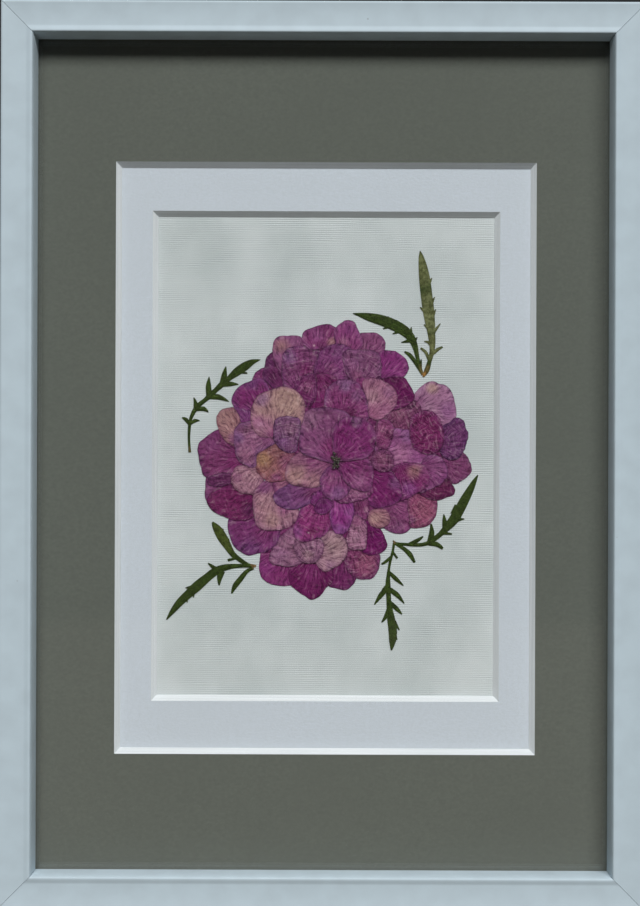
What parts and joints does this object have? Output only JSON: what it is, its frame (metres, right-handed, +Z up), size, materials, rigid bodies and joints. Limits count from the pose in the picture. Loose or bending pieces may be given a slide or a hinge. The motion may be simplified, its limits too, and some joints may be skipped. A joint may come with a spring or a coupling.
{
  "type": "pressed flower frame",
  "caption": "Slim white hanging frame with glass, two bevelled mounts and a linen card on which pressed hydrangea petals form a round flower ringed by lobed leaf sprigs.",
  "frame": {"origin": "the middle notch of the hanger behind the picture, where the wall hook bears", "axes": "+Z up the picture, +X to the right as it is looked at, the picture faces -Y"},
  "size_m": [0.222, 0.0226, 0.312],
  "materials": {
    "moulding": "white satin foil",
    "glass": "clear",
    "grey_board": "grey mount board, white core",
    "white_board": "white mount board",
    "linen_card": "ribbed linen",
    "hardboard": "brown hardboard",
    "steel": "zinc plated",
    "leaf": "dried dark olive leaf",
    "petal_magenta": "dried magenta sepal",
    "petal_plum": "dried dark plum sepal",
    "petal_mauve": "dried mauve sepal",
    "petal_rose": "dried rose sepal",
    "petal_blush": "dried blush sepal",
    "petal_beige": "dried beige sepal"
  },
  "bodies": {
    "root": {"rail_top": "moulding", "rail_bottom": "moulding", "rail_left": "moulding", "rail_right": "moulding", "glass": "glass", "outer_mount": "grey_board", "inner_mount": "white_board", "linen_card": "linen_card", "backing_board": "hardboard", "hanger": "steel", "sprig_left": "leaf", "sprig_top": "leaf", "sprig_low_left": "leaf", "sprig_right": "leaf", "petal_far_left": "petal_mauve", "petal_left_purple": "petal_rose", "petal_left_magenta": "petal_magenta", "petal_left_striped": "petal_beige", "petal_upper_left_dark": "petal_plum", "petal_upper_left_tan": "petal_blush", "petal_low_left_magenta": "petal_rose", "petal_bottom_purple": "petal_magenta", "petal_bottom_magenta": "petal_magenta", "petal_low_right_wrinkled": "petal_rose", "petal_low_right_deep": "petal_magenta", "floret_pale": "petal_blush", "petal_low_left_purple": "petal_mauve", "petal_lower_left_magenta": "petal_magenta", "petal_left_beige_pink": "petal_blush", "petal_long_beige": "petal_blush", "petal_left_orange": "petal_beige", "petal_left_mauve": "petal_mauve", "petal_top_rose": "petal_rose", "petal_upper_right_rose": "petal_rose", "petal_top_tall": "petal_rose", "petal_upper_left_wrinkled": "petal_rose", "floret_top": "petal_magenta", "petal_far_right_rose": "petal_mauve", "petal_far_right_dark": "petal_plum", "petal_right_pale": "petal_blush", "petal_right_brown": "petal_mauve", "petal_right_deep": "petal_magenta", "petal_right_magenta": "petal_magenta", "petal_upper_mauve": "petal_mauve", "petal_upper_shadowed": "petal_rose", "petal_right_blush": "petal_blush", "petal_right_lilac": "petal_mauve", "petal_right_crinkled": "petal_magenta", "petal_lower_right_mauve": "petal_mauve", "petal_right_salmon": "petal_rose", "petal_right_dark_tip": "petal_plum", "petal_right_veined": "petal_mauve", "petal_right_yellow_eye": "petal_rose", "petal_middle_magenta": "petal_magenta", "petal_shiny_magenta": "petal_magenta", "petal_violet": "petal_mauve", "petal_blue_mauve": "petal_plum", "floret_bud": "petal_magenta", "floret_centre": "petal_magenta", "petal_beige_large": "petal_beige"}
  },
  "joints": []
}
